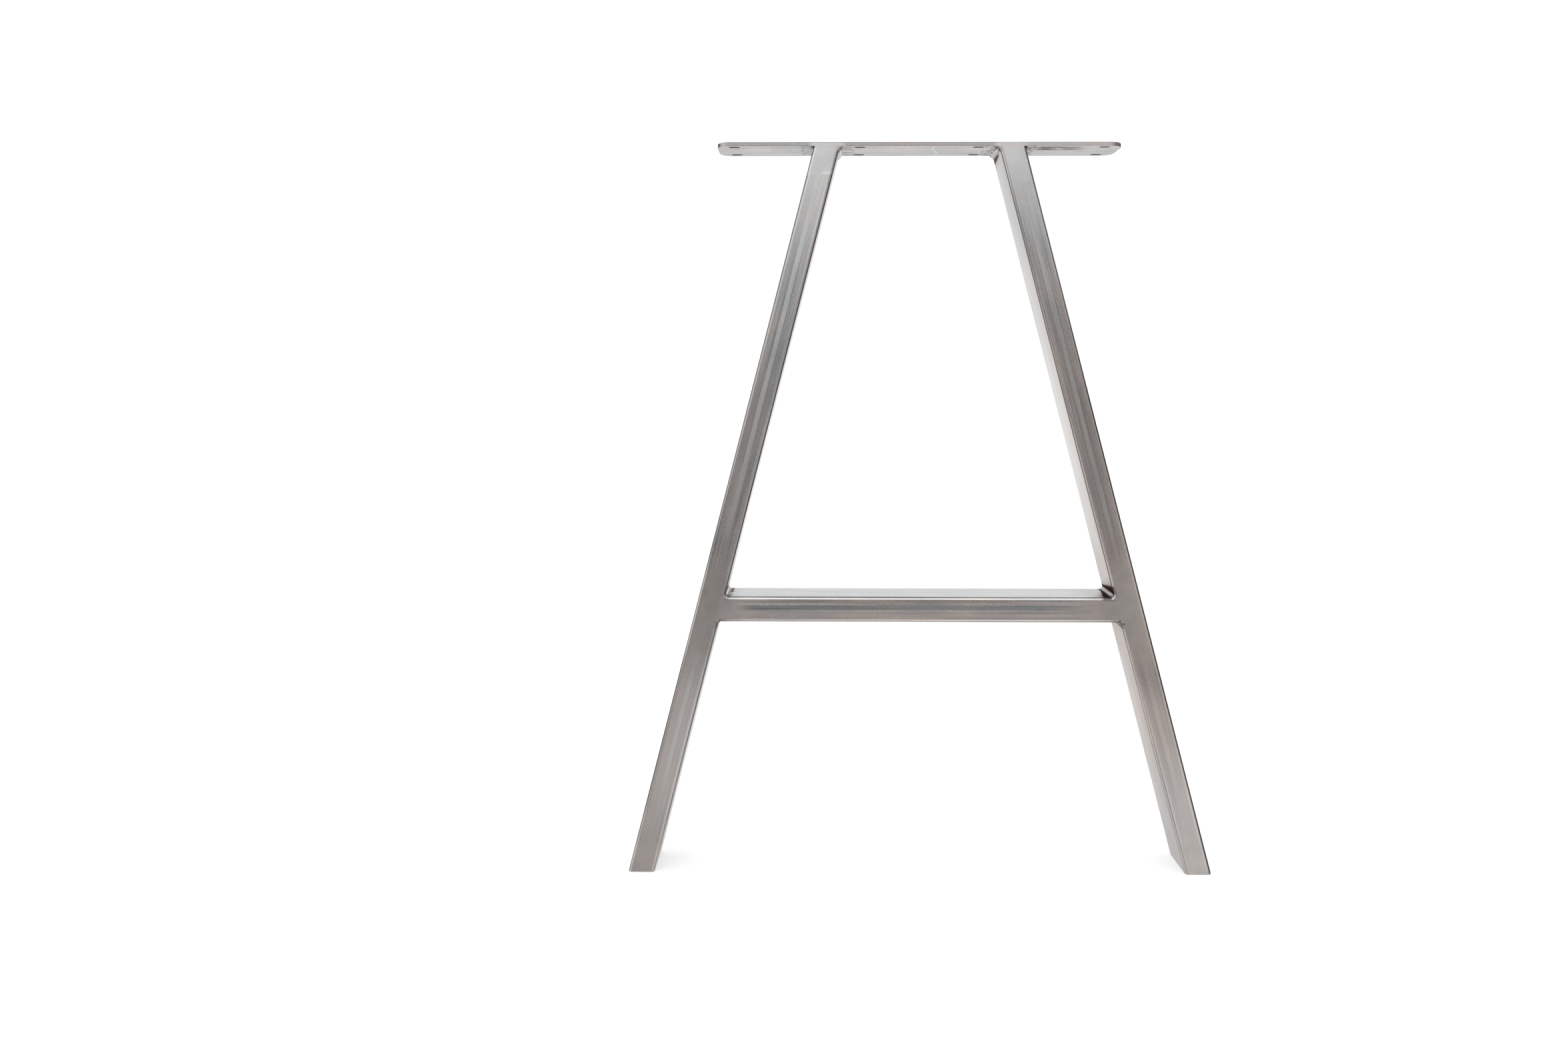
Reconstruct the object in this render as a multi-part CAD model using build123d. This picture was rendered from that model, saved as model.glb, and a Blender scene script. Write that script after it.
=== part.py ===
from build123d import *
import math
import os

# A-frame table leg: a welded frame of rectangular steel tube under a slotted
# mounting plate. Units are millimetres, +Z is up, the front faces -Y.
# The origin is on the floor, midway between the two feet.

# ---------------------------------------------------------------- dimensions
height = 720.0            # floor to the top of the mounting plate

plate_length = 400.0      # along X
plate_depth = 50.0        # along Y, flush with the tubes front and back
plate_thickness = 4.0
plate_corner_r = 12.0     # plan corners
plate_edge_break = 0.4    # top edges, deburred

slot_length = 11.0        # screw slots, along X, end to end
slot_width = 5.0
slot_x_outer = 183.0      # slot centres from the middle
slot_x_inner = 58.5
slot_y = 18.5

tube_face = 25.0          # tube section seen from the front
tube_depth = 50.0         # tube section along Y
tube_wall = 2.0
tube_outer_r = 3.0
tube_inner_r = 1.0

leg_top_half_width = 104.3    # outer face of the leg at the plate's underside
leg_foot_half_width = 286.8   # outer face of the leg at the floor

crossbar_mid_z = 259.5

cap_thickness = 3.0
cap_edge_r = 1.0              # lower rim of the foot, ground round
groove = 1.0                  # depth of the ground seam round the foot
groove_half = 0.7             # half the seam's height

bevel = 1.5                   # weld preparation across the tube at the plate
notch = 3.3                   # how far filler reaches into a rounded tube corner

# weld sizes, measured along each face from the corner; where there are two, the
# first is along the plate and the second down the leg
top_inner_leg = {"left": (3.2, 5.4), "right": (3.8, 4.6)}
top_outer_leg = {"left": 2.4, "right": 2.6}
top_outer_half_run = 21.0     # the outer runs stop short of the faces
upper_leg = {"left": 2.8, "right": 3.0}
lower_leg = {"left": 2.3, "right": 2.6}
bar_run_edge_r = 2.9          # front and back edges of the runs, dressed round like the tubes
top_run_edge_r = 1.2

# ---------------------------------------------------------------- derived
underside = height - plate_thickness
half_depth = tube_depth / 2
slope = (leg_foot_half_width - leg_top_half_width) / underside
angle = math.atan(slope)
sin_a, cos_a = math.sin(angle), math.cos(angle)
face_level = tube_face / cos_a        # leg width along X at any level


def outer_x(z):
    return leg_foot_half_width - slope * z


def inner_x(z):
    return outer_x(z) - face_level


bar_top = crossbar_mid_z + tube_face / 2
bar_bottom = crossbar_mid_z - tube_face / 2


def slab(z0, z1):
    """A level block, much wider than the frame, between two heights."""
    return Pos(0, 0, (z0 + z1) / 2) * Box(2000, 400, z1 - z0)


def prism_xz(points, y0, y1, arc_mid=None):
    """A solid with its section in the XZ plane, from y0 to y1.

    With arc_mid, the edge from the first to the second point is an arc
    through arc_mid."""
    pts = [Vector(x, y0, z) for x, z in points]
    edges = []
    n = len(pts)
    for i in range(n):
        a, b = pts[i], pts[(i + 1) % n]
        if i == 0 and arc_mid is not None:
            m = Vector(arc_mid[0], y0, arc_mid[1])
            edges.append(Edge.make_three_point_arc(a, m, b))
        else:
            edges.append(Edge.make_line(a, b))
    face = Face(Wire(edges))
    return Solid.extrude(face, Vector(0, y1 - y0, 0))


def leg_prism(width, depth, radius):
    """A long bar of the tube's section, along the right leg's axis."""
    z0 = -60.0
    centre_x = outer_x(z0) - face_level / 2
    plane = Plane(origin=(centre_x, 0, z0), x_dir=(cos_a, 0, sin_a), z_dir=(-sin_a, 0, cos_a))
    section = plane * RectangleRounded(width, depth, radius)
    return extrude(section, amount=(height + 160.0) / cos_a)


leg_solid = leg_prism(tube_face, tube_depth, tube_outer_r)
leg_bore = leg_prism(tube_face - 2 * tube_wall, tube_depth - 2 * tube_wall, tube_inner_r)

# ---------------------------------------------------------------- crossbar
bar_plane = Plane(origin=(-400, 0, crossbar_mid_z), x_dir=(0, 1, 0), z_dir=(1, 0, 0))
bar_solid = extrude(bar_plane * RectangleRounded(tube_depth, tube_face, tube_outer_r), amount=800)
bar_bore = extrude(
    bar_plane * RectangleRounded(tube_depth - 2 * tube_wall, tube_face - 2 * tube_wall, tube_inner_r),
    amount=800,
)
# both ends are mitred along the inner faces of the legs
mitre = prism_xz(
    [
        (-inner_x(bar_bottom - 10), bar_bottom - 10),
        (inner_x(bar_bottom - 10), bar_bottom - 10),
        (inner_x(bar_top + 10), bar_top + 10),
        (-inner_x(bar_top + 10), bar_top + 10),
    ],
    -100,
    100,
)
bar_filled = bar_solid & mitre
crossbar_tube = bar_filled - bar_bore

# ---------------------------------------------------------------- top plate
plate_outline = RectangleRounded(plate_length, plate_depth, plate_corner_r)
slots = Sketch() + [
    Pos(sx * x, sy * slot_y) * SlotOverall(slot_length, slot_width)
    for x in (slot_x_outer, slot_x_inner)
    for sx in (-1, 1)
    for sy in (-1, 1)
]
top_plate = extrude(Pos(0, 0, underside) * (plate_outline - slots), amount=plate_thickness)
top_rim = [
    e
    for e in top_plate.edges().group_by(Axis.Z)[-1]
    if max(abs(e.center().X) / (plate_length / 2), abs(e.center().Y) / (plate_depth / 2)) > 0.93
]
top_plate = chamfer(top_rim, plate_edge_break)


# ---------------------------------------------------------------- weld sections
def corner_run(corner, u, v, size, into_leg, into_bar, y0, y1, fullness=0.55):
    """A fillet run in the corner between two faces.

    u and v run along the two faces away from the corner (v along the leg), and
    size is the run's reach along both, or along each.
    into_leg and into_bar carry the section on past the faces, so that the run
    also fills the rounded corners of the tubes; the tubes are cut out later."""
    cx, cz = corner
    size_u, size_v = size if isinstance(size, tuple) else (size, size)
    a = (cx + u[0] * size_u, cz + u[1] * size_u)
    b = (cx + v[0] * size_v, cz + v[1] * size_v)
    half = math.acos(u[0] * v[0] + u[1] * v[1]) / 2
    # how far from the corner the arc's middle lies: 1 on the chord, less when hollow
    tangent = (1 - math.sin(half)) / math.cos(half) ** 2
    reach = 1 + (tangent - 1) * fullness
    mid = (
        cx + ((a[0] + b[0]) / 2 - cx) * reach,
        cz + ((a[1] + b[1]) / 2 - cz) * reach,
    )
    pts = [a, b]
    if into_leg:
        pts.append((b[0] + cos_a * into_leg, b[1] + sin_a * into_leg))
        pts.append((cx + into_leg / cos_a, cz))
    pts.append((cx, cz))
    if into_bar:
        drop = abs(into_bar)
        up = 1 if into_bar > 0 else -1
        pts.append((cx - up * slope * drop, cz + up * drop))
        pts.append((a[0], a[1] + up * drop))
    return prism_xz(pts, y0, y1, arc_mid=mid)


down_leg = (sin_a, -cos_a)
up_leg = (-sin_a, cos_a)
inward = (-1.0, 0.0)
outward = (1.0, 0.0)


def tidy(shape):
    """The single solid of a shape, with no leftover splits in its faces."""
    solids = shape.solids()
    solids = sorted(solids, key=lambda s: s.volume, reverse=True)
    return solids[0].clean()


# wedges that bevel the tube's end across its front and back walls
wedge_front = extrude(
    Plane(origin=(0, 0, 0), x_dir=(0, 1, 0), z_dir=(1, 0, 0))
    * make_face(
        Polyline(
            (-half_depth - 1, underside + 1),
            (-half_depth - 1, underside - bevel - 1),
            (-half_depth + bevel + 1, underside + 1),
            close=True,
        )
    ),
    amount=200,
)
wedge_back = mirror(wedge_front, about=Plane.XZ)

# the foot: a cap below the tube, with a ground seam let in all round the joint
def loop_at(shape, z):
    return [
        e
        for e in shape.edges()
        if abs(e.bounding_box().min.Z - z) < 1e-4 and abs(e.bounding_box().max.Z - z) < 1e-4
    ]


seam_core = leg_prism(tube_face - 2 * groove, tube_depth - 2 * groove, tube_outer_r - groove)
seam_ring = (leg_solid - seam_core) & slab(cap_thickness - groove_half, cap_thickness + groove_half)
foot_weld = tidy(seam_ring)
leg_run = leg_solid & slab(cap_thickness, underside)
leg_filled = leg_run - seam_ring
cap_block = leg_solid & slab(0, cap_thickness)
foot_cap = fillet(loop_at(cap_block, 0.0), cap_edge_r) - seam_ring

leg_tube = leg_filled - leg_bore - wedge_front - wedge_back
top_front_weld = tidy(leg_run & wedge_front)
top_back_weld = tidy(leg_run & wedge_back)


def round_run(run, r):
    """Rounds a run's two curved edges, at its front and its back."""
    return fillet(run.edges().filter_by(GeomType.CIRCLE), r)


def side_pieces(side):
    """Every piece of one side, built as the right one."""
    top_in = corner_run(
        (inner_x(underside), underside), inward, down_leg, top_inner_leg[side],
        notch, 0, -half_depth, half_depth,
    )
    top_out = corner_run(
        (outer_x(underside), underside), outward, down_leg, top_outer_leg[side],
        0, 0, -top_outer_half_run, top_outer_half_run,
    )
    upper = corner_run(
        (inner_x(bar_top), bar_top), inward, up_leg, upper_leg[side],
        notch, -notch, -half_depth, half_depth,
    )
    lower = corner_run(
        (inner_x(bar_bottom), bar_bottom), inward, down_leg, lower_leg[side],
        notch, notch, -half_depth, half_depth,
    )
    # filler in the groove between the mitred bar and the leg's rounded corner
    strip = [
        (inner_x(bar_bottom), bar_bottom),
        (inner_x(bar_bottom) + notch / cos_a, bar_bottom),
        (inner_x(bar_top) + notch / cos_a, bar_top),
        (inner_x(bar_top), bar_top),
    ]
    front = prism_xz(strip, -half_depth, -half_depth + notch)
    back = prism_xz(strip, half_depth - notch, half_depth)
    pieces = {
        "leg_tube": leg_tube,
        "foot_cap": foot_cap,
        "foot_weld": foot_weld,
        "top_front_weld": top_front_weld,
        "top_back_weld": top_back_weld,
        "top_inner_weld": round_run(top_in, top_run_edge_r) - leg_solid,
        "top_outer_weld": top_out - leg_solid,
        "crossbar_upper_weld": round_run(upper, bar_run_edge_r) - leg_solid - bar_filled,
        "crossbar_lower_weld": round_run(lower, bar_run_edge_r) - leg_solid - bar_filled,
        "crossbar_front_weld": front - leg_solid - bar_filled,
        "crossbar_back_weld": back - leg_solid - bar_filled,
    }
    return pieces


nodes = {"top_plate": top_plate, "crossbar_tube": crossbar_tube}
for side in ("right", "left"):
    for name, shape in side_pieces(side).items():
        solid = tidy(shape)
        if side == "left":
            solid = tidy(mirror(solid, about=Plane.YZ))
        nodes[side + "_" + name] = solid

os.makedirs("parts", exist_ok=True)
for name, shape in nodes.items():
    solids = shape.solids()
    out = solids[0] if len(solids) == 1 else Compound(children=list(solids))
    out.label = name
    export_step(out, "parts/" + name + ".step")
    bb = out.bounding_box()
    print(
        "%-28s solids %d  volume %10.2f  x %8.2f..%8.2f  y %7.2f..%7.2f  z %7.2f..%7.2f"
        % (name, len(solids), out.volume, bb.min.X, bb.max.X, bb.min.Y, bb.max.Y, bb.min.Z, bb.max.Z)
    )
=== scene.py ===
import math
import random

import bmesh
import bpy
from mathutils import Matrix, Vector


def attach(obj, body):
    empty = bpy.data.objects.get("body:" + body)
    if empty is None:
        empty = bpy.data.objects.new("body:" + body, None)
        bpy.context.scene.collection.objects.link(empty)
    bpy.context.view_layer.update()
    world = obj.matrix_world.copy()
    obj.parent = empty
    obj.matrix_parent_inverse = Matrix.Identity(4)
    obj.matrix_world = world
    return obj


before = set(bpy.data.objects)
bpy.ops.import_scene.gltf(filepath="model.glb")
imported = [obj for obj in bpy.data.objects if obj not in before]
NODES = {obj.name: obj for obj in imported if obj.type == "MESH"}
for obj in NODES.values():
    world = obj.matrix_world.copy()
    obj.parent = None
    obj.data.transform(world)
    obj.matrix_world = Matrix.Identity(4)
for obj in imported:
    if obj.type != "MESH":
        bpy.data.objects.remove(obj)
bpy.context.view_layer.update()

# ------------------------------------------------------------------ sizes
# the same sizes as the part's own, in millimetres
HEIGHT = 720.0
UNDER = 716.0
FOOT = 286.8
SLOPE = (FOOT - 104.3) / UNDER
ANGLE = math.atan(SLOPE)
SIN, COS = math.sin(ANGLE), math.cos(ANGLE)
FACE = 25.0
FACE_LEVEL = FACE / COS
BAR_MID = 259.5
BAR_TOP = BAR_MID + 12.5
BAR_BOTTOM = BAR_MID - 12.5


def outer_x(z):
    return FOOT - SLOPE * z


def inner_x(z):
    return outer_x(z) - FACE_LEVEL


# ------------------------------------------------------------------ nodes in short form
class Net:
    """A few short calls for building a node tree; plain numbers and sockets mix freely."""

    def __init__(self, tree):
        self.tree = tree
        tree.nodes.clear()
        self.n = 0

    def node(self, kind, **props):
        nd = self.tree.nodes.new(kind)
        for k, v in props.items():
            setattr(nd, k, v)
        nd.location = (220 * (self.n % 12), -180 * (self.n // 12))
        self.n += 1
        return nd

    def put(self, socket, value):
        if isinstance(value, bpy.types.NodeSocket):
            self.tree.links.new(value, socket)
        else:
            socket.default_value = value

    def m(self, op, a, b=None, c=None, clamp=False):
        nd = self.node("ShaderNodeMath", operation=op, use_clamp=clamp)
        for i, x in enumerate((a, b, c)):
            if x is not None:
                self.put(nd.inputs[i], x)
        return nd.outputs[0]

    def add(self, *xs):
        out = xs[0]
        for x in xs[1:]:
            out = self.m("ADD", out, x)
        return out

    def sub(self, a, b):
        return self.m("SUBTRACT", a, b)

    def mul(self, *xs):
        out = xs[0]
        for x in xs[1:]:
            out = self.m("MULTIPLY", out, x)
        return out

    def abs(self, a):
        return self.m("ABSOLUTE", a)

    def inv(self, a):
        return self.m("SUBTRACT", 1.0, a)

    def max(self, *xs):
        out = xs[0]
        for x in xs[1:]:
            out = self.m("MAXIMUM", out, x)
        return out

    def min(self, *xs):
        out = xs[0]
        for x in xs[1:]:
            out = self.m("MINIMUM", out, x)
        return out

    def step(self, x, lo, hi, a=0.0, b=1.0):
        """a below lo, b above hi, smooth between; lo may be above hi."""
        nd = self.node("ShaderNodeMapRange", interpolation_type="SMOOTHSTEP", clamp=True)
        if lo > hi:
            lo, hi, a, b = hi, lo, b, a
        for i, v in enumerate((x, lo, hi, a, b)):
            self.put(nd.inputs[i], v)
        return nd.outputs[0]

    def band(self, x, centre, half, soft):
        """1 within half of centre, 0 beyond half + soft."""
        return self.step(self.abs(self.sub(x, centre)), half + soft, half)

    def vec(self, x, y, z):
        nd = self.node("ShaderNodeCombineXYZ")
        for i, v in enumerate((x, y, z)):
            self.put(nd.inputs[i], v)
        return nd.outputs[0]

    def xyz(self, v):
        nd = self.node("ShaderNodeSeparateXYZ")
        self.put(nd.inputs[0], v)
        return nd.outputs[0], nd.outputs[1], nd.outputs[2]

    def dot(self, v, axis, origin):
        nd = self.node("ShaderNodeVectorMath", operation="SUBTRACT")
        self.put(nd.inputs[0], v)
        self.put(nd.inputs[1], origin)
        nd2 = self.node("ShaderNodeVectorMath", operation="DOT_PRODUCT")
        self.put(nd2.inputs[0], nd.outputs[0])
        self.put(nd2.inputs[1], axis)
        return nd2.outputs["Value"]

    def noise(self, v, scale=1.0, detail=2.0, rough=0.5, distort=0.0):
        nd = self.node("ShaderNodeTexNoise", noise_dimensions="3D")
        self.put(nd.inputs["Vector"], v)
        self.put(nd.inputs["Scale"], scale)
        self.put(nd.inputs["Detail"], detail)
        self.put(nd.inputs["Roughness"], rough)
        self.put(nd.inputs["Distortion"], distort)
        return nd.outputs[0]

    def ramp(self, x, stops, mode="EASE"):
        nd = self.node("ShaderNodeValToRGB")
        r = nd.color_ramp
        r.interpolation = mode
        while len(r.elements) > 1:
            r.elements.remove(r.elements[-1])
        for i, (p, c) in enumerate(stops):
            e = r.elements[0] if i == 0 else r.elements.new(p)
            e.position = p
            c = (c, c, c) if isinstance(c, (int, float)) else c
            e.color = (*c, 1.0)
        self.put(nd.inputs[0], x)
        return nd.outputs[0]

    def mix(self, f, a, b, blend="MIX"):
        nd = self.node("ShaderNodeMix", data_type="RGBA", blend_type=blend)
        self.put(nd.inputs[0], f)
        for s, v in ((nd.inputs[6], a), (nd.inputs[7], b)):
            if not isinstance(v, bpy.types.NodeSocket):
                v = (*v, 1.0) if len(v) == 3 else v
            self.put(s, v)
        return nd.outputs[2]

    def lerp(self, f, a, b):
        nd = self.node("ShaderNodeMix", data_type="FLOAT")
        self.put(nd.inputs[0], f)
        self.put(nd.inputs[2], a)
        self.put(nd.inputs[3], b)
        return nd.outputs[0]


def millimetres(net):
    tc = net.node("ShaderNodeTexCoord")
    nd = net.node("ShaderNodeVectorMath", operation="SCALE")
    net.put(nd.inputs[0], tc.outputs["Object"])
    nd.inputs[3].default_value = 1000.0
    return nd.outputs[0]


def signed(net, n, k):
    """A noise value, spread about zero: about -k to k."""
    return net.mul(net.sub(n, 0.5), 2.0 * k)


# ------------------------------------------------------------------ studio
def make_world():
    world = bpy.data.worlds.new("studio")
    bpy.context.scene.world = world
    world.use_nodes = True
    net = Net(world.node_tree)
    tc = net.node("ShaderNodeTexCoord")
    x, y, z = net.xyz(tc.outputs["Generated"])
    side = net.m("ARCTAN2", x, net.mul(y, -1.0))          # 0 towards the front, + to the right
    side = net.mul(side, 180.0 / math.pi)
    az = net.abs(side)
    el = net.mul(net.m("ARCSINE", z), 180.0 / math.pi)
    t = net.add(net.mul(el, 1.0 / 180.0), 0.5)            # 0 straight down, 0.5 level, 1 straight up

    def e(deg):
        return deg / 180.0 + 0.5

    # each tone is half the radiance, so that the ramps stay within 0 to 1
    front_left = net.ramp(t, [
        (e(-90), 0.30), (e(-62), 0.36), (e(-42), 0.55), (e(-30), 0.22), (e(-23.4), 0.145), (e(-20.6), 0.29),
        (e(-18), 1.0), (e(-16.3), 0.66), (e(-13.2), 0.080), (e(-9.4), 0.082), (e(-5.6), 0.200), (e(-1.2), 0.215), (e(3.1), 0.240),
        (e(5.9), 0.235), (e(8.9), 0.54), (e(11.1), 0.86), (e(15), 0.98), (e(22), 1.0), (e(58), 0.95), (e(74), 0.20), (e(90), 0.07),
    ])
    front_right = net.ramp(t, [
        (e(-90), 0.30), (e(-62), 0.36), (e(-42), 0.62), (e(-30), 0.72), (e(-23.4), 0.68), (e(-20.6), 0.51),
        (e(-18), 0.80), (e(-16), 0.15), (e(-13.6), 0.052), (e(-10), 0.190), (e(-7.6), 0.250), (e(-5.6), 0.190), (e(-1.2), 0.215), (e(2), 0.160),
        (e(6.2), 0.112), (e(8.9), 0.23), (e(11.1), 0.80), (e(15), 0.95), (e(22), 1.0), (e(58), 0.95), (e(74), 0.20), (e(90), 0.07),
    ])
    front = net.mix(net.step(side, -1.0, 9.0), front_left, front_right)
    flank_right = net.ramp(t, [
        (e(-90), 0.30), (e(-38), 0.42), (e(-24), 0.12), (e(-12), 0.045), (e(14), 0.045),
        (e(24), 0.14), (e(38), 0.46), (e(60), 0.50), (e(90), 0.07),
    ])
    flank_left = net.ramp(t, [
        (e(-90), 0.30), (e(-38), 0.42), (e(-26), 0.20), (e(-14), 0.13), (e(14), 0.13),
        (e(24), 0.20), (e(38), 0.48), (e(60), 0.50), (e(90), 0.07),
    ])
    back = net.ramp(t, [
        (e(-90), 0.30), (e(-50), 0.40), (e(-26), 0.45), (e(-16), 0.54), (e(-8), 0.64), (e(-2), 0.58), (e(4), 0.53),
        (e(14), 0.54), (e(34), 0.52), (e(52), 0.22), (e(65), 0.06), (e(90), 0.07),
    ])
    level = net.step(net.abs(el), 50.0, 30.0)
    box_left = net.mul(net.step(side, -34.0, -50.0), net.step(side, -104.0, -88.0), level)
    box_right = net.mul(net.step(side, 20.0, 28.0), net.step(side, 88.0, 64.0), level)
    flank = net.mix(net.step(side, -1.0, 1.0), flank_left, flank_right)
    tone = net.mix(net.step(az, 44.0, 66.0), front, flank)
    tone = net.mix(box_left, tone, (0.70, 0.70, 0.70))
    tone = net.mix(net.mul(box_right, 0.85), tone, net.mix(net.step(side, 34.0, 60.0), (0.42, 0.42, 0.42), (0.22, 0.22, 0.22)))
    side_box = net.mul(net.step(side, 78.0, 88.0), net.step(side, 112.0, 100.0), net.step(el, -24.0, 4.0))
    tone = net.mix(net.mul(side_box, 0.9), tone, net.mix(net.step(el, 0.0, 34.0), (0.22, 0.22, 0.22), (0.46, 0.46, 0.46)))
    tone = net.mix(net.step(az, 140.0, 154.0), tone, back)
    lp = net.node("ShaderNodeLightPath")
    seen = net.node("ShaderNodeBackground")
    seen.inputs[0].default_value = (1.0, 1.0, 1.0, 1.0)
    seen.inputs[1].default_value = 1.08
    fill = net.node("ShaderNodeBackground")
    fill.inputs[0].default_value = (1.0, 1.0, 1.0, 1.0)
    fill.inputs[1].default_value = 0.62
    mirrored = net.node("ShaderNodeBackground")
    net.put(mirrored.inputs[0], tone)
    mirrored.inputs[1].default_value = 2.0
    a = net.node("ShaderNodeMixShader")
    net.put(a.inputs[0], lp.outputs["Is Glossy Ray"])
    net.put(a.inputs[1], fill.outputs[0])
    net.put(a.inputs[2], mirrored.outputs[0])
    b = net.node("ShaderNodeMixShader")
    net.put(b.inputs[0], lp.outputs["Is Camera Ray"])
    net.put(b.inputs[1], a.outputs[0])
    net.put(b.inputs[2], seen.outputs[0])
    out = net.node("ShaderNodeOutputWorld")
    net.put(out.inputs[0], b.outputs[0])


def make_floor():
    me = bpy.data.meshes.new("floor")
    bm = bmesh.new()
    bmesh.ops.create_grid(bm, x_segments=8, y_segments=8, size=12.0)
    bm.to_mesh(me)
    bm.free()
    ob = bpy.data.objects.new("floor", me)
    bpy.context.scene.collection.objects.link(ob)
    mat = bpy.data.materials.new("paper_floor")
    mat.use_nodes = True
    net = Net(mat.node_tree)
    p = net.node("ShaderNodeBsdfPrincipled")
    p.inputs["Base Color"].default_value = (0.50, 0.50, 0.503, 1.0)
    p.inputs["Roughness"].default_value = 0.9
    p.inputs["Specular IOR Level"].default_value = 0.0
    p.inputs["Emission Color"].default_value = (1.0, 1.0, 1.0, 1.0)
    p.inputs["Emission Strength"].default_value = 0.59
    out = net.node("ShaderNodeOutputMaterial")
    net.put(out.inputs[0], p.outputs[0])
    me.materials.append(mat)
    ob.visible_glossy = False
    return ob


def make_lights():
    sun = bpy.data.lights.new("soft_top", "SUN")
    sun.energy = 1.75
    sun.angle = math.radians(75)
    ob = bpy.data.objects.new("soft_top", sun)
    ob.rotation_euler = (math.radians(14), math.radians(-8), 0)
    ob.visible_glossy = False
    bpy.context.scene.collection.objects.link(ob)


def make_camera():
    cam = bpy.data.cameras.new("camera")
    cam.sensor_width = 36.0
    cam.lens = 25.922
    cam.shift_x = -0.01631
    cam.shift_y = -0.09135
    cam.clip_start = 0.05
    cam.clip_end = 60.0
    ob = bpy.data.objects.new("camera", cam)
    ob.location = (-0.0968, -1.1365, 0.4863)
    ob.rotation_euler = (math.radians(90), -0.0008, 0.0103)
    bpy.context.scene.collection.objects.link(ob)
    bpy.context.scene.camera = ob


# ------------------------------------------------------------------ steel
WARM = (1.105, 0.967, 0.897)
COOL = (0.978, 0.998, 1.008)
F0 = 0.435


def finish_steel(net, tone, warm, rough, height, tint=None, rust=None):
    """tone multiplies the metal's brightness, warm mixes its colour, height is in millimetres."""
    warm = net.m("MULTIPLY", warm, 1.0, clamp=True)
    base = net.mix(warm, tuple(F0 * c for c in COOL), tuple(F0 * c for c in WARM))
    base = net.mix(1.0, base, net.vec(tone, tone, tone), "MULTIPLY")
    p = net.node("ShaderNodeBsdfPrincipled")
    p.inputs["Metallic"].default_value = 1.0
    if tint is not None:
        colour, amount = tint
        base = net.mix(amount, base, colour)
        net.put(p.inputs["Specular Tint"], net.mix(amount, (1.0, 1.0, 1.0), (0.30, 0.25, 0.25)))
    net.put(p.inputs["Base Color"], base)
    net.put(p.inputs["Roughness"], rough)
    bump = net.node("ShaderNodeBump")
    bump.inputs["Strength"].default_value = 1.0
    bump.inputs["Distance"].default_value = 0.001
    net.put(bump.inputs["Height"], height)
    net.put(p.inputs["Normal"], bump.outputs[0])
    out = net.node("ShaderNodeOutputMaterial")
    net.put(out.inputs[0], p.outputs[0])


def blended(net, P):
    """The hand-blended finish at joints, feet and leg tops: no direction, soft clouds, fine short marks."""
    cloud = net.noise(P, 0.055, 2.0, 0.55)
    wide = net.noise(P, 0.026, 2.0, 0.6)
    small = net.noise(P, 0.42, 2.0, 0.6)
    grit = net.noise(P, 1.7, 2.0, 0.6)
    x, y, z = net.xyz(P)
    marks = net.noise(net.vec(net.mul(x, 0.16), net.mul(y, 0.5), net.mul(z, 1.9)), 1.0, 2.0, 0.6)
    tone = net.add(1.0, signed(net, cloud, 0.15), signed(net, wide, 0.16), signed(net, small, 0.07), signed(net, marks, 0.07),
                   signed(net, grit, 0.06))
    height = net.add(net.mul(small, 0.004), net.mul(marks, 0.004))
    rough = net.add(0.30, signed(net, small, 0.05))
    return tone, height, rough


def joint_level(net, x):
    """Brightness of the ground finish along the crossbar's ends and the joints."""
    return net.add(net.step(x, -204.0, -168.0, 0.91, 1.05), net.step(x, 165.0, 200.0, 0.0, -0.05))


def joint_warm(net, x):
    return net.add(0.66, net.step(x, -150.0, 150.0, 0.0, 0.26))


def heat(net, d, noise, reach):
    """Temper colours beside a weld. d is the distance from the run in mm, and reach may vary."""
    f = net.add(net.m("DIVIDE", d, reach), signed(net, noise, 0.34))
    colour = net.ramp(f, [
        (0.0, (0.115, 0.108, 0.112)), (0.35, (0.118, 0.098, 0.098)), (0.68, (0.130, 0.102, 0.100)),
        (0.88, (0.20, 0.16, 0.15)), (1.0, (0.34, 0.295, 0.275)),
    ])
    haze = net.mul(net.step(f, 2.6, 0.9), 0.22)
    amount = net.max(net.step(f, 1.12, 0.76), haze)
    return colour, amount


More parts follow.
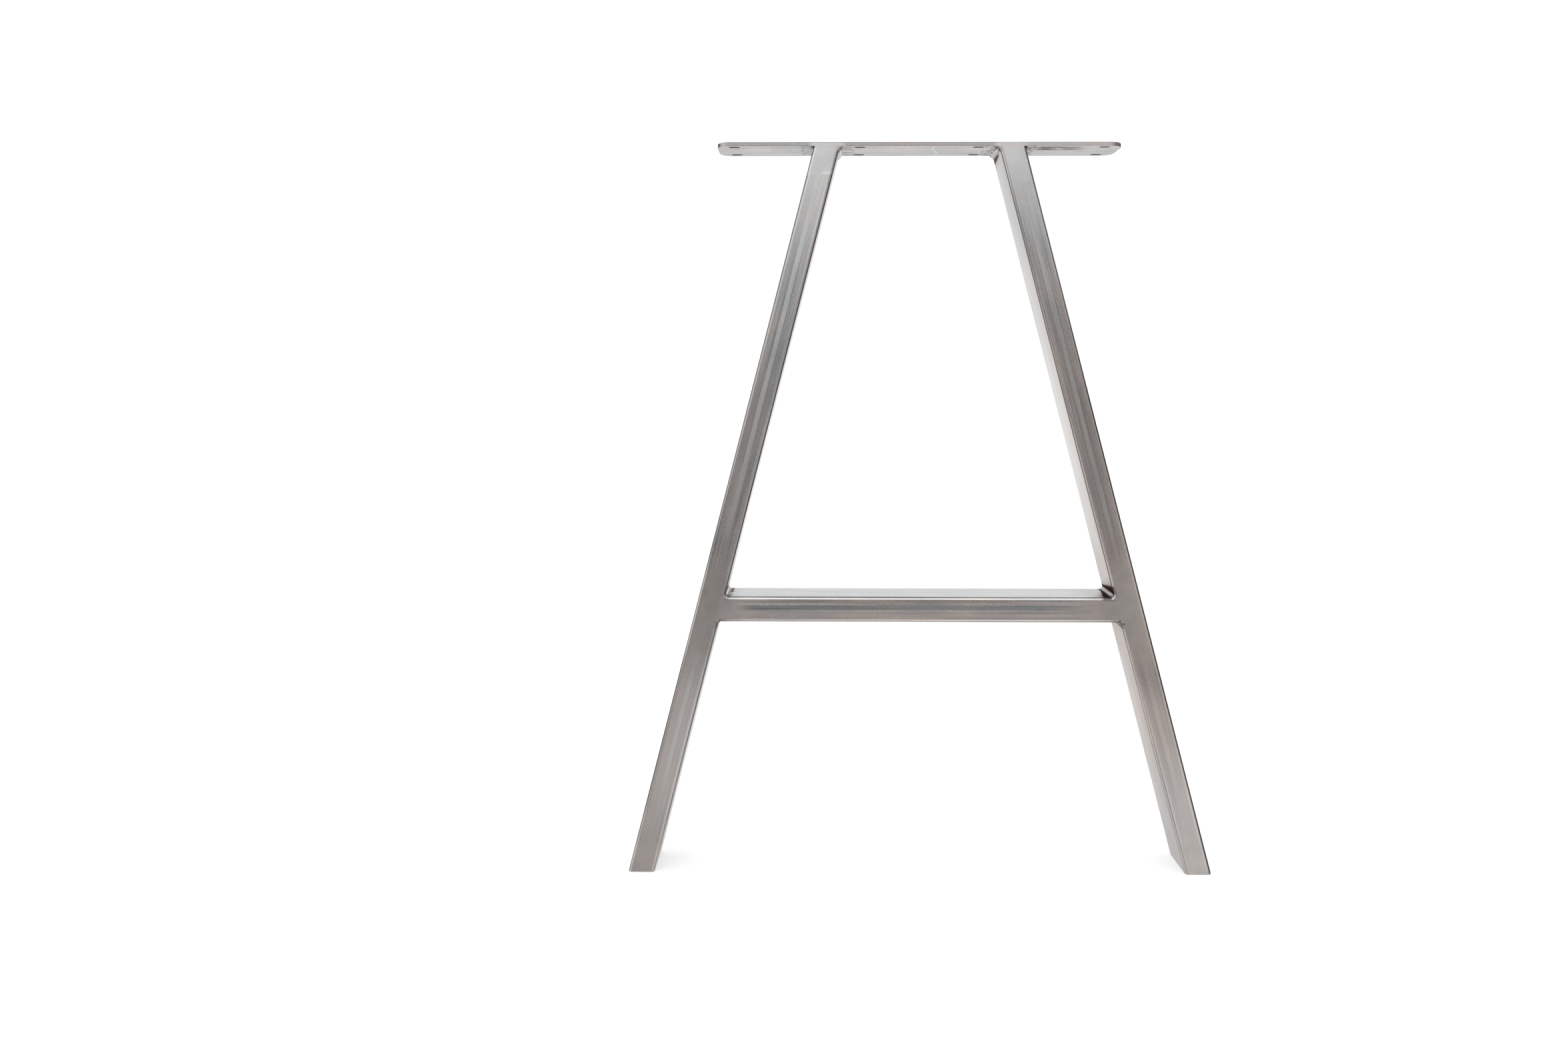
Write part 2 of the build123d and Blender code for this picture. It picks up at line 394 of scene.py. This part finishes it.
def tube_material(name, part):
    """part is left, right or bar."""
    mat = bpy.data.materials.new(name)
    mat.use_nodes = True
    net = Net(mat.node_tree)
    P = millimetres(net)
    x, y, z = net.xyz(P)
    wander = net.noise(P, 0.012, 1.0)
    if part == "bar":
        u = net.sub(BAR_MID, z)                       # down the face
        w = x
        seed = 40.0
    else:
        s = 1.0 if part == "right" else -1.0
        origin = (s * (FOOT - FACE_LEVEL / 2), 0.0, 0.0)
        u = net.dot(P, (COS, 0.0, s * SIN), origin)   # to the viewer's right
        w = net.dot(P, (-s * SIN, 0.0, COS), origin)  # up the leg
        seed = 0.0 if part == "right" else 17.0
    v = y
    uw = net.add(u, signed(net, wander, 0.5))

    # grain along the tube
    def grain(ku, kw, detail=2.0, shift=0.0, rough=0.55):
        return net.noise(net.vec(net.add(net.mul(uw, ku), seed + shift), net.mul(v, ku), net.mul(w, kw)), 1.0, detail, rough)

    broad = grain(0.13, 0.0022, 1.0)
    mid = grain(0.42, 0.0060, 2.0, 5.0)
    fine = grain(1.5, 0.017, 2.0, 9.0)
    hair = grain(4.2, 0.060, 2.0, 13.0)
    clouds = net.noise(net.vec(net.mul(u, 0.045), net.mul(v, 0.045), net.add(net.mul(w, 0.013), seed)), 1.0, 2.0, 0.6)
    mottle = net.noise(P, 0.55, 3.0, 0.62)
    grit = net.noise(P, 1.7, 2.0, 0.6)

    # front and back faces carry the mill's bands, narrow faces don't
    face = net.step(net.abs(y), 20.0, 23.5)
    jag = net.add(signed(net, net.noise(net.vec(net.mul(u, 0.3), net.mul(v, 0.3), net.mul(w, 0.11)), 1.0, 3.0, 0.7), 1.0))
    soft = signed(net, net.noise(P, 0.030, 2.0, 0.45), 1.0)
    if part == "bar":
        at = net.add(u, net.mul(jag, 1.3))
        dark = net.band(at, -2.0, 1.5, 1.7)
        ends = net.mul(net.step(x, -188.0, -160.0), net.step(x, 176.0, 112.0))
        dark = net.mul(dark, ends, face, net.step(clouds, 0.18, 0.52, 0.6, 1.0))
        brown = net.mul(net.band(net.add(u, net.mul(jag, 0.7)), -7.9, 1.0, 1.5), face, net.step(x, -175.0, -60.0, 0.35, 1.0),
                        net.step(x, 128.0, 60.0, 0.12, 1.0))
        seam = net.mul(net.band(net.add(u, net.mul(jag, 0.5)), 3.4, 0.35, 0.7), face, net.step(mottle, 0.42, 0.60))
        low = net.mul(net.band(u, 8.4, 0.5, 0.8), face)
        tone = net.add(net.lerp(net.step(z, 267.5, 270.0), 1.27, 1.12), net.mul(dark, -0.42), net.mul(brown, -0.36), net.mul(seam, -0.10), net.mul(low, -0.07))
        warm = net.add(0.76, net.mul(dark, -0.62), net.mul(brown, 0.22))
        joint = net.max(net.step(net.add(x, net.mul(soft, 14.0)), 140.0, 181.0), net.step(net.sub(net.mul(soft, 6.0), x), 166.0, 190.0))
        ground = joint
        band_bump = net.mul(dark, -0.006)
    else:
        strip = net.mul(net.step(net.add(u, net.mul(jag, 0.55)), -2.9, -1.9), net.step(u, 2.3, 1.7), face)
        left_edge = net.mul(net.band(net.add(u, net.mul(jag, 0.8)), -3.3, 0.4, 1.0), face, net.step(mottle, 0.40, 0.56))
        right_edge = net.mul(net.band(net.add(u, net.mul(jag, 0.25)), 2.7, 0.25, 0.6), face)
        rolled = net.mul(net.step(u, 2.6, 3.4), net.step(u, 9.0, 7.8), face)
        fade = net.mul(net.step(z, 664.0, 590.0), net.step(z, 305.0, 365.0))
        fade = net.add(fade, net.mul(net.step(z, 225.0, 180.0), net.step(z, 70.0, 120.0), 0.35))
        cross = net.noise(net.vec(net.mul(u, 0.20), net.mul(v, 0.2), net.mul(w, 1.15)), 1.0, 2.0, 0.7)
        ticks = net.noise(net.vec(net.mul(u, 0.22), net.mul(v, 0.2), net.mul(w, 0.95)), 1.0, 1.0, 0.5)
        ticks = net.mul(net.step(ticks, 0.66, 0.73), face, net.step(u, 2.0, 5.0), net.step(z, 420.0, 445.0), net.step(z, 545.0, 520.0))
        gain = 0.17 if part == "right" else 0.27
        tone = net.add(
            1.0, net.mul(strip, fade, gain), net.mul(left_edge, fade, -0.20), net.mul(right_edge, fade, -0.22),
            net.mul(rolled, fade, net.add(-0.06, signed(net, cross, 0.24))), net.mul(ticks, 0.30),
        )
        mid_leg = net.step(z, 640.0, 470.0)
        warm = net.add(0.38 if part == "right" else 0.20, net.mul(mid_leg, 0.42 if part == "right" else 0.20),
                       net.mul(strip, fade, -0.30), net.mul(net.step(u, -2.0, -4.0), face, 0.10),
                       net.mul(net.step(z, 400.0, 300.0), 0.16), net.mul(net.step(z, 590.0, 660.0), -0.22 if part == "right" else 0.0),
                       net.mul(net.step(z, 175.0, 60.0), -0.50 if part == "right" else -0.05))
        # rolled corners: a painted highlight beside them, painted shade (a dark line) on them
        long_edge = net.mul(net.step(z, 712.0, 700.0), face, net.step(net.abs(net.sub(z, BAR_MID)), 13.0, 20.0))
        if part == "right":
            # painted highlight beside the inner rolled edge, and painted shade, a dark line, on that edge
            painted_edge_highlight = net.mul(net.band(net.add(u, net.mul(jag, 0.2)), -9.3, 0.6, 0.9), long_edge)
            oxide_and_edge_shade = net.mul(net.band(u, -11.2, 0.35, 0.5), long_edge)
            # the outer half of the face brighter lower down; a painted highlight beside the outer edge, and painted
            # shade, a dark line, on its rounded corner
            rise = net.mul(net.step(u, 1.0, 11.0), net.step(z, 430.0, 330.0), net.step(z, 20.0, 110.0, 0.3, 1.0), face)
            painted_rim_highlight = net.mul(net.band(u, 9.4, 0.5, 0.7), net.step(z, 520.0, 420.0), face)
            painted_dark_outline = net.mul(net.step(u, 10.2, 11.0), net.step(net.abs(y), 20.0, 22.4), net.step(z, 560.0, 450.0, 0.5, 1.0))
            tone = net.add(tone, net.mul(painted_edge_highlight, net.step(z, 640.0, 470.0, 0.05, 0.42), net.step(z, 470.0, 380.0, 1.0, 0.50)),
                           net.mul(oxide_and_edge_shade, net.step(z, 480.0, 390.0, -0.42, -0.12)))
        else:
            # painted highlight beside the inner rolled edge, and painted shade, a dark line, on that edge
            painted_edge_highlight = net.mul(net.band(net.add(u, net.mul(jag, 0.2)), 9.3, 0.6, 0.8), face)
            oxide_and_edge_shade = net.mul(net.step(u, 10.9, 11.5), face)
            tone = net.add(tone, net.mul(painted_edge_highlight, net.step(z, 690.0, 640.0, 0.0, 0.20)), net.mul(oxide_and_edge_shade, -0.20))
            # painted shade: the outer edge band darker lower down
            painted_edge_shade = net.mul(net.step(u, -8.8, -10.0), net.step(z, 430.0, 310.0), face)
        if part == "left":
            top = net.mul(net.step(net.add(z, net.mul(jag, 0.6)), 687.4, 688.6), face)
        else:
            top = net.mul(net.step(net.add(z, net.mul(soft, 16.0)), 644.0, 696.0), face)
        joint = net.step(net.abs(net.sub(net.add(z, net.mul(soft, 26.0)), BAR_MID)), 70.0, 26.0)
        foot = net.step(net.add(z, net.mul(soft, 22.0)), 74.0, 14.0)
        ground = net.max(joint, net.mul(foot, 0.8), net.mul(top, 0.9))
        band_bump = net.mul(net.add(left_edge, right_edge), fade, -0.006)

    keep = net.mul(net.inv(net.mul(ground, 0.86)), 1.0 if part == "bar" else net.step(z, 250.0, 170.0, 1.0, 0.62))
    streaks = net.add(
        signed(net, broad, 0.17), signed(net, mid, 0.26), signed(net, fine, 0.22), signed(net, hair, 0.12),
    )
    # the narrow faces: painted light, lighter towards the back, with uneven wiping marks
    narrow = net.inv(face)
    side_marks = net.noise(net.vec(net.mul(u, 0.1), net.mul(v, 0.16), net.add(net.mul(w, 0.028), seed)), 1.0, 3.0, 0.65)
    calm = 1.0 if part == "bar" else net.mul(net.step(z, 560.0, 670.0, 1.0, 0.45), net.step(z, 250.0, 170.0, 1.0, 0.58))
    tone = net.add(tone, net.mul(streaks, calm, net.lerp(narrow, 1.0, 1.35)), net.mul(narrow, signed(net, side_marks, 0.24)))
    if part == "left":
        # painted shade along the outer edge, and a painted dark line on its rounded corner; the narrow faces a little
        # lighter
        tone = net.mul(tone, net.sub(net.sub(1.0, net.mul(painted_edge_shade, 0.17)), net.mul(net.step(u, -10.3, -11.1), net.step(net.abs(y), 20.0, 22.4), net.step(z, 420.0, 220.0, 0.34, 0.42))), net.lerp(narrow, 1.0, 1.15))
    if part == "right":
        # painted shade (a dark line) and a painted highlight along the outer edge, with the brighter outer half
        edge_tone = net.add(net.sub(1.0, net.mul(painted_dark_outline, net.step(z, 220.0, 60.0, 0.76, 0.55))), net.mul(rise, 0.13), net.mul(painted_rim_highlight, 0.20))
    if part != "bar":
        # painted light: the narrow faces darker at the front and lighter towards the back
        tone = net.mul(tone, net.lerp(narrow, 1.0, net.step(y, -24.0, 22.0, 0.86, 1.15)))
    b_tone, b_height, b_rough = blended(net, P)
    tone = net.mul(tone, net.add(1.0, signed(net, clouds, 0.14), signed(net, mottle, 0.10), signed(net, grit, 0.08)))
    if part == "bar":
        level = joint_level(net, x)
    elif part == "left":
        dip = net.add(net.mul(net.band(z, 306.0, 14.0, 20.0), 0.06), net.mul(net.band(z, 206.0, 8.0, 20.0), 0.04))
        level = net.add(net.sub(1.0, net.mul(joint, 0.16)), net.mul(top, 0.04))
    else:
        dip = net.mul(net.band(z, 214.0, 22.0, 24.0), 0.08)
        level = 1.0
    tone = net.lerp(ground, tone, net.mul(b_tone, level))
    if part != "bar":
        tone = net.mul(tone, net.inv(dip))
    if part == "right":
        tone = net.mul(tone, edge_tone)
    if part == "left":
        # painted highlight: a bright, square-edged glint where the dressed zone ends
        painted_glint = net.mul(net.band(net.add(z, net.mul(jag, 0.5)), 689.8, 0.9, 0.9), net.step(u, 0.5, 4.5), face)
        tone = net.add(tone, net.mul(painted_glint, 0.20))
    warm = net.add(warm, signed(net, clouds, 0.55), signed(net, mid, 0.4), net.mul(joint, 0.12), net.mul(narrow, net.add(net.step(z, 290.0, 180.0, -0.34, 0.15), net.step(z, 500.0, 640.0, 0.0, 0.50))))
    b_warm = net.add(joint_warm(net, x) if part == "bar" else (net.step(z, 120.0, 40.0, 0.92, 0.55) if part == "right" else 0.66), signed(net, net.noise(P, 0.026, 2.0, 0.6), 0.6))
    warm = net.lerp(net.mul(ground, net.step(z, 640.0, 500.0), net.lerp(narrow, 1.0, 0.3)), warm, b_warm)

    tint = None
    n1 = net.noise(P, 0.22, 3.0, 0.65)
    if part == "bar":
        up = net.step(z, 267.5, 270.6)
        d = net.max(net.sub(188.4, x), 0.0)
        reach = net.max(net.add(4.0, net.mul(y, -0.20)), 2.4)
        colour, amount = heat(net, d, n1, reach)
        amount = net.mul(amount, up)
        # two rusty dabs near the left end
        dab = net.mul(net.band(net.add(x, signed(net, n1, 3.0)), -186.6, 0.9, 1.3), up, net.step(net.noise(P, 0.19, 2.0), 0.44, 0.53))
        colour = net.mix(net.step(x, 0.0, 1.0), (0.24, 0.115, 0.085), colour)
        near = net.mul(net.step(net.add(x, signed(net, n1, 2.0)), -187.4, -189.4), up, 0.75)
        colour = net.mix(near, colour, (0.10, 0.075, 0.075))
        amount = net.max(amount, net.mul(dab, 0.8), near)
        under = net.step(z, 251.5, 248.4)
        lower = net.mul(under, net.step(net.add(net.abs(x), signed(net, n1, 4.0)), 187.0, 193.0), 0.45)
        colour = net.mix(lower, colour, (0.15, 0.12, 0.115))
        amount = net.max(amount, lower)
        warm = net.add(warm, net.mul(up, -0.52))
    else:
        inner = net.step(net.mul(u, -s), 9.3, 11.4)
        k = 1.0 if part == "right" else 0.42
        du = net.sub(net.mul(z, 1.0 / COS), 275.2 / COS)
        reach = net.max(net.add(5.2, net.mul(y, -0.135)), 2.6)
        colour, amount = heat(net, net.max(du, 0.0), n1, reach)
        amount = net.mul(amount, inner, net.step(du, -12.0, -8.0), k)
        dl = net.mul(net.sub(BAR_BOTTOM - 2.4, z), 1.0 / COS)
        c2, a2 = heat(net, net.max(dl, 0.0), n1, net.max(net.add(2.4, net.mul(y, -0.06)), 1.2))
        a2 = net.mul(a2, inner, net.step(dl, -12.0, -8.0), 0.6)
        colour = net.mix(a2, colour, c2)
        amount = net.max(amount, a2)
        dt = net.mul(net.sub(UNDER - 4.2, z), 1.0 / COS)
        c3, a3 = heat(net, net.max(dt, 0.0), n1, net.max(net.add(4.0, net.mul(y, 0.12)), 1.5))
        a3 = net.mul(a3, inner, net.step(y, -14.0, -2.0, 0.15, 1.0), 0.9 if part == "right" else 0.35)
        colour = net.mix(a3, colour, c3)
        amount = net.max(amount, a3)
    tint = (colour, amount)

    rough = net.add(
        0.245, signed(net, mid, 0.035), signed(net, fine, 0.05), signed(net, mottle, 0.035), signed(net, clouds, 0.03),
    )
    rough = net.add(net.lerp(ground, rough, b_rough), net.mul(amount, 0.08))
    height = net.add(
        net.mul(mid, keep, 0.010), net.mul(fine, keep, 0.0055), net.mul(hair, keep, 0.0022),
        net.mul(mottle, 0.0035), net.mul(b_height, ground), band_bump,
    )
    finish_steel(net, tone, warm, rough, height, tint)
    return mat


def joint_material(name, warm_at=0.62):
    """Weld metal and closing plates ground flush: the same blended finish as the tubes have beside them."""
    mat = bpy.data.materials.new(name)
    mat.use_nodes = True
    net = Net(mat.node_tree)
    P = millimetres(net)
    tone, height, rough = blended(net, P)
    mottle = net.noise(P, 0.55, 3.0, 0.62)
    x, y, z = net.xyz(P)
    if warm_at is None:
        tone = net.mul(tone, joint_level(net, x))
        warm_at = joint_warm(net, x)
    warm = net.add(warm_at, signed(net, net.noise(P, 0.026, 2.0, 0.6), 0.6))
    finish_steel(net, tone, warm, rough, net.add(height, net.mul(mottle, 0.0035)))
    return mat


def plate_material():
    mat = bpy.data.materials.new("plate_brushed")
    mat.use_nodes = True
    net = Net(mat.node_tree)
    P = millimetres(net)
    x, y, z = net.xyz(P)
    wander = net.noise(P, 0.012, 1.0)
    yw = net.add(y, signed(net, wander, 0.8))

    def grain(ky, kx, detail=2.0, shift=0.0):
        return net.noise(net.vec(net.mul(x, kx), net.add(net.mul(yw, ky), shift), net.mul(z, ky)), 1.0, detail, 0.55)

    broad = grain(0.10, 0.0035, 2.0)
    mid = grain(0.36, 0.009, 2.0, 4.0)
    fine = grain(1.3, 0.022, 2.0, 8.0)
    hair = grain(4.0, 0.07, 2.0, 12.0)
    clouds = net.noise(P, 0.022, 2.0, 0.6)
    mottle = net.noise(P, 0.5, 3.0, 0.6)
    blot = net.noise(net.vec(net.mul(x, 0.030), net.mul(y, 0.11), 7.0), 1.0, 3.0, 0.65)
    tone = net.add(0.78, signed(net, broad, 0.24), signed(net, mid, 0.24), signed(net, fine, 0.15), signed(net, hair, 0.09),
                   signed(net, clouds, 0.16), signed(net, mottle, 0.09), net.mul(net.step(blot, 0.52, 0.66), -0.20))
    # sawn and filed marks across the narrow edges
    edge = net.max(net.step(net.abs(y), 24.3, 24.75), net.step(net.abs(x), 199.3, 199.75))
    hatch = net.noise(net.vec(net.mul(x, 0.85), net.mul(y, 0.85), net.mul(z, 0.10)), 1.0, 3.0, 0.65)
    # painted shade: the edges darker towards the left and lighter towards the right. Their bottom strip is darker too.
    tone = net.lerp(edge, tone, net.add(net.add(net.step(x, -170.0, -60.0, 0.68, 0.71), net.step(x, -60.0, 60.0, 0.0, 0.03), net.step(x, 70.0, 110.0, 0.0, 0.14)), signed(net, hatch, 0.22), signed(net, mottle, 0.06), net.mul(net.step(z, 717.4, 716.5), -0.10)))
    # where the legs' faces are dressed together with the plate's edge
    def at_leg(cx):
        return net.mul(net.band(x, cx, 12.0, 9.0), edge)
    dressed = net.max(at_leg(-91.0), at_leg(91.0))
    b_tone, b_height, b_rough = blended(net, P)
    tone = net.lerp(dressed, tone, b_tone)
    # soot and scuffs on the underside
    below = net.step(z, 716.9, 716.2)
    n1 = net.noise(net.vec(net.mul(x, 0.075), net.mul(y, 0.28), 3.0), 1.0, 3.0, 0.65)
    smoke = net.mul(below, net.band(x, 129.0, 20.0, 22.0), net.band(net.add(y, signed(net, n1, 5.0)), -12.0, 6.5, 4.5),
                    net.step(n1, 0.36, 0.55))
    n2 = net.noise(P, 0.2, 3.0, 0.6)
    near_leg = net.mul(below, net.max(net.band(net.abs(x), 110.0, 4.0, 5.0), net.band(net.abs(x), 70.0, 3.0, 5.0)),
                       net.step(n2, 0.40, 0.62))
    soot = net.max(net.mul(smoke, 0.62), net.mul(near_leg, 0.35))
    smudge = net.mul(below, net.band(net.add(x, signed(net, n1, 6.0)), -132.0, 9.0, 11.0), net.band(y, -10.0, 9.0, 6.0), net.step(n2, 0.30, 0.60, 0.45, 1.0))
    tone = net.mul(tone, net.sub(1.0, net.mul(smudge, 0.16)))
    # scratches: one long bow and a pair of short ones
    bow = net.sub(x, net.add(17.0, net.mul(net.m("SINE", net.mul(y, 0.13)), 3.0)))
    bow = net.mul(net.band(bow, 0.0, 0.28, 0.5), below, net.step(net.abs(y), 24.0, 20.0))
    s1 = net.mul(net.band(net.add(net.sub(x, -121.5), net.mul(y, -0.42)), 0.0, 0.12, 0.4), below, net.band(y, -4.0, 6.5, 1.0))
    s2 = net.mul(net.band(net.add(net.sub(x, -117.0), net.mul(y, 0.75)), 0.0, 0.10, 0.4), below, net.band(y, -14.0, 3.5, 1.0))
    scratch = net.max(bow, s1, s2)
    tone = net.add(tone, net.mul(scratch, 1.1))
    warm = net.add(0.40, signed(net, clouds, 0.7), signed(net, mid, 0.4), net.mul(soot, 0.3))
    rough = net.add(0.27, signed(net, fine, 0.05), signed(net, mottle, 0.04), net.mul(soot, 0.1), net.mul(scratch, 0.15),
                    net.mul(edge, 0.05))
    rough = net.lerp(dressed, rough, b_rough)
    keep = net.inv(edge)
    height = net.add(net.mul(mid, keep, 0.010), net.mul(fine, keep, 0.005), net.mul(hair, keep, 0.002), net.mul(mottle, 0.004),
                     net.mul(hatch, net.mul(edge, net.inv(dressed)), 0.012), net.mul(scratch, -0.03), net.mul(dressed, b_height))
    finish_steel(net, tone, warm, rough, height, ((0.10, 0.085, 0.085), soot))
    return mat


def run_material(name, dressed_from, warm_at):
    """The plain section of a corner run: dull weld metal, dressed smooth where it meets the front and the back."""
    mat = bpy.data.materials.new(name)
    mat.use_nodes = True
    net = Net(mat.node_tree)
    P = millimetres(net)
    x, y, z = net.xyz(P)
    b_tone, b_height, b_rough = blended(net, P)
    n = net.noise(P, 0.9, 3.0, 0.6)
    n2 = net.noise(P, 0.16, 2.0, 0.6)
    clouds = net.noise(P, 0.03, 2.0, 0.6)
    ends = net.step(net.add(net.abs(y), signed(net, n2, 0.8)), dressed_from, dressed_from + 0.8)
    # painted shade: the dressed ends of the runs under the crossbar are darker
    low = net.step(z, 252.0, 249.0)
    tone = net.lerp(ends, net.add(0.62, signed(net, n, 0.25)), net.mul(b_tone, net.sub(0.80, net.mul(low, 0.40))))
    warm = net.lerp(ends, net.add(0.35, signed(net, n2, 0.8)), net.add(warm_at, signed(net, clouds, 0.7)))
    rough = net.lerp(ends, 0.30, b_rough)
    soot = net.mul(net.inv(ends), net.step(n2, 0.36, 0.56), 0.8)
    finish_steel(net, tone, warm, rough, net.add(b_height, net.mul(n, 0.02)), ((0.115, 0.095, 0.095), soot))
    return mat


def bead_material(name, bright=1.0, blue=0.0):
    """As-welded bead: silvery, slightly cool, darker in its ripples and hollows: oxide left there, and painted shade.
    """
    mat = bpy.data.materials.new(name)
    mat.use_nodes = True
    net = Net(mat.node_tree)
    P = millimetres(net)
    n = net.noise(P, 0.9, 3.0, 0.6)
    n2 = net.noise(P, 0.16, 2.0, 0.6)
    geo = net.node("ShaderNodeNewGeometry")
    # painted shade: the hollows (toes and ripples) darker, found by pointiness
    hollow_shade_and_oxide = net.step(geo.outputs["Pointiness"], 0.485, 0.515)
    tone = net.add(1.28 * bright, signed(net, n, 0.22), signed(net, n2, 0.18))
    tone = net.mul(tone, net.lerp(hollow_shade_and_oxide, 0.62, 1.0))
    warm = net.add(0.28 - blue, signed(net, n2, 0.8))
    oxide_and_edge_shade = net.mul(net.step(n2, 0.60, 0.78), 0.5)
    rough = net.add(0.27, signed(net, n, 0.09))
    finish_steel(net, tone, warm, rough, net.mul(n, 0.02), ((0.20, 0.16, 0.17), oxide_and_edge_shade))
    return mat


# ------------------------------------------------------------------ weld beads
def bead(name, corner, a_dir, b_dir, leg_a, leg_b, y0, y1, mat, seed, crown=0.55, pitch=1.25, ripple=0.16,
         swell=None, start_round=2.2, end_round=2.2, width=1.0):
    """A rippled run in the corner between two faces, laid over the plain section below it.

    corner is (x, z); a_dir and b_dir run along the two faces away from it. The toes sit
    just inside the faces, and the back of the section is closed inside the corner."""
    rng = random.Random(seed)
    n_across = 15
    step = 0.22
    count = int((y1 - y0) / step) + 1
    waves = [(rng.uniform(0.05, 0.16), rng.uniform(3.5, 11.0), rng.uniform(0, 6.28)) for _ in range(5)]
    pitches = []
    pos = y0 - 3.0
    while pos < y1 + 6.0:
        pitches.append(pos)
        pos += pitch * rng.uniform(0.78, 1.25)
    cx, cz = corner

    def scallop(p):
        lo = 0
        for i, q in enumerate(pitches):
            if q <= p:
                lo = i
            else:
                break
        a = pitches[lo]
        b = pitches[min(lo + 1, len(pitches) - 1)]
        f = (p - a) / max(b - a, 1e-6)
        return (math.sin(math.pi * min(max(f, 0.0), 1.0)) ** 0.7) * (0.75 + 0.25 * ((lo * 7919) % 5) / 4.0)

    bm = bmesh.new()
    rows = []
    for i in range(count):
        y = y0 + (y1 - y0) * i / (count - 1)
        ends = min((y - y0) / start_round, (y1 - y) / end_round, 1.0)
        ends = max(ends, 0.0)
        size = math.sqrt(max(1.0 - (1.0 - ends) ** 2, 0.0))
        wob = sum(a * math.sin(6.283 * y / l + ph) for a, l, ph in waves)
        la = leg_a * (1.0 + 0.30 * wob) * (0.35 + 0.65 * size)
        lb = leg_b * (1.0 - 0.26 * wob) * (0.35 + 0.65 * size)
        if swell is not None:
            k = swell(y)
            la *= k
            lb *= k
        ring = []
        A = Vector((cx + a_dir[0] * la, cz + a_dir[1] * la))
        B = Vector((cx + b_dir[0] * lb, cz + b_dir[1] * lb))
        out = Vector((a_dir[0] + b_dir[0], a_dir[1] + b_dir[1])).normalized()
        for j in range(n_across):
            s = j / (n_across - 1)
            base = A.lerp(B, s)
            hump = max(1.0 - ((s - 0.5) / (0.5 * width)) ** 2, 0.0)
            bow = 1.5 * hump                                  # ripples curve back in the middle
            r = scallop(y + bow)
            lift = crown * hump * (0.4 + 0.6 * size) + ripple * r * (hump ** 0.6) * size - 0.22 * (1.0 - hump ** 0.4)
            q = base + out * lift
            ring.append(bm.verts.new((q.x / 1000, y / 1000, q.y / 1000)))
        # the hidden back, sunk past the corner
        deep = Vector((cx, cz)) - out * 0.5
        ring.append(bm.verts.new((deep.x / 1000, y / 1000, deep.y / 1000)))
        rows.append(ring)
    m = n_across + 1
    for i in range(count - 1):
        for j in range(m):
            k = (j + 1) % m
            bm.faces.new((rows[i][j], rows[i][k], rows[i + 1][k], rows[i + 1][j]))
    bm.faces.new(rows[0])
    bm.faces.new(rows[-1])
    bmesh.ops.triangulate(bm, faces=[f for f in bm.faces if len(f.verts) > 4])
    bmesh.ops.recalc_face_normals(bm, faces=bm.faces)
    me = bpy.data.meshes.new(name)
    bm.to_mesh(me)
    bm.free()
    for p in me.polygons:
        p.use_smooth = True
    ob = bpy.data.objects.new(name, me)
    bpy.context.scene.collection.objects.link(ob)
    me.materials.append(mat)
    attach(ob, "root")
    return ob


def make_beads():
    silver = bead_material("bead_silver", 0.86, 0.10)
    bright = bead_material("bead_bright", 0.98, 0.15)
    dull = bead_material("bead_dull", 0.62)
    made = []
    for s, side in ((1.0, "right"), (-1.0, "left")):
        right = side == "right"
        up = (-s * SIN, COS)
        down = (s * SIN, -COS)
        inward = (-s, 0.0)
        outward = (s, 0.0)
        x_up, x_low = s * inner_x(BAR_TOP), s * inner_x(BAR_BOTTOM)
        made.append(bead(side + "_crossbar_upper_bead", (x_up, BAR_TOP), inward, up,
                         3.2 if right else 3.0, 3.2 if right else 3.0, -21.4, 22.6,
                         silver if right else bright, 11 if right else 12, crown=0.32, ripple=0.07, pitch=1.3, width=0.60))
        made.append(bead(side + "_crossbar_lower_bead", (x_low, BAR_BOTTOM), inward, down,
                         2.7 if right else 2.4, 2.7 if right else 2.4, -20.8, 22.0,
                         dull, 13 if right else 14, crown=0.26, ripple=0.08, pitch=1.3, width=0.7))
        made.append(bead(side + "_top_inner_bead", (s * inner_x(UNDER), UNDER), inward, down,
                         4.1 if right else 3.5, 4.9 if right else 5.6, -19.5, 23.0,
                         bright, 15 if right else 16, crown=0.46, ripple=0.13, pitch=1.9, width=0.56 if right else 0.66))
        made.append(bead(side + "_top_outer_bead", (s * outer_x(UNDER), UNDER), outward, down,
                         2.9 if right else 2.7, 2.9 if right else 2.7, -20.4, 20.4,
                         dull, 17 if right else 18, crown=0.26, ripple=0.10, pitch=1.3, width=0.8))
    return made


# ------------------------------------------------------------------ put together
make_world()
make_floor()
make_lights()
make_camera()
view = bpy.context.scene.view_settings
view.view_transform = "Standard"
view.look = "None"
view.exposure = 0.0
view.gamma = 1.0

right_mat = tube_material("right_leg_steel", "right")
left_mat = tube_material("left_leg_steel", "left")
bar_mat = tube_material("crossbar_steel", "bar")
plate_mat = plate_material()
joint_mat = joint_material("joint_ground", None)
top_mat = joint_material("top_ground", 0.42)
foot_mat = joint_material("foot_ground", 0.52)
run_mat = run_material("run_dressed", 22.6, 0.7)
top_run_mat = run_material("top_run_dressed", 23.4, 0.42)

PAINT = {
    "right_leg_tube": right_mat,
    "left_leg_tube": left_mat,
    "crossbar_tube": bar_mat,
    "top_plate": plate_mat,
}
for n, ob in NODES.items():
    if n in PAINT:
        mat = PAINT[n]
    elif "foot" in n:
        mat = foot_mat
    elif n.endswith("front_weld") or n.endswith("back_weld"):
        mat = top_mat if "_top_" in n else joint_mat
    else:
        mat = top_run_mat if "_top_" in n else run_mat
    for s in ob.material_slots:
        s.material = mat
    if not ob.material_slots:
        ob.data.materials.append(mat)

make_beads()
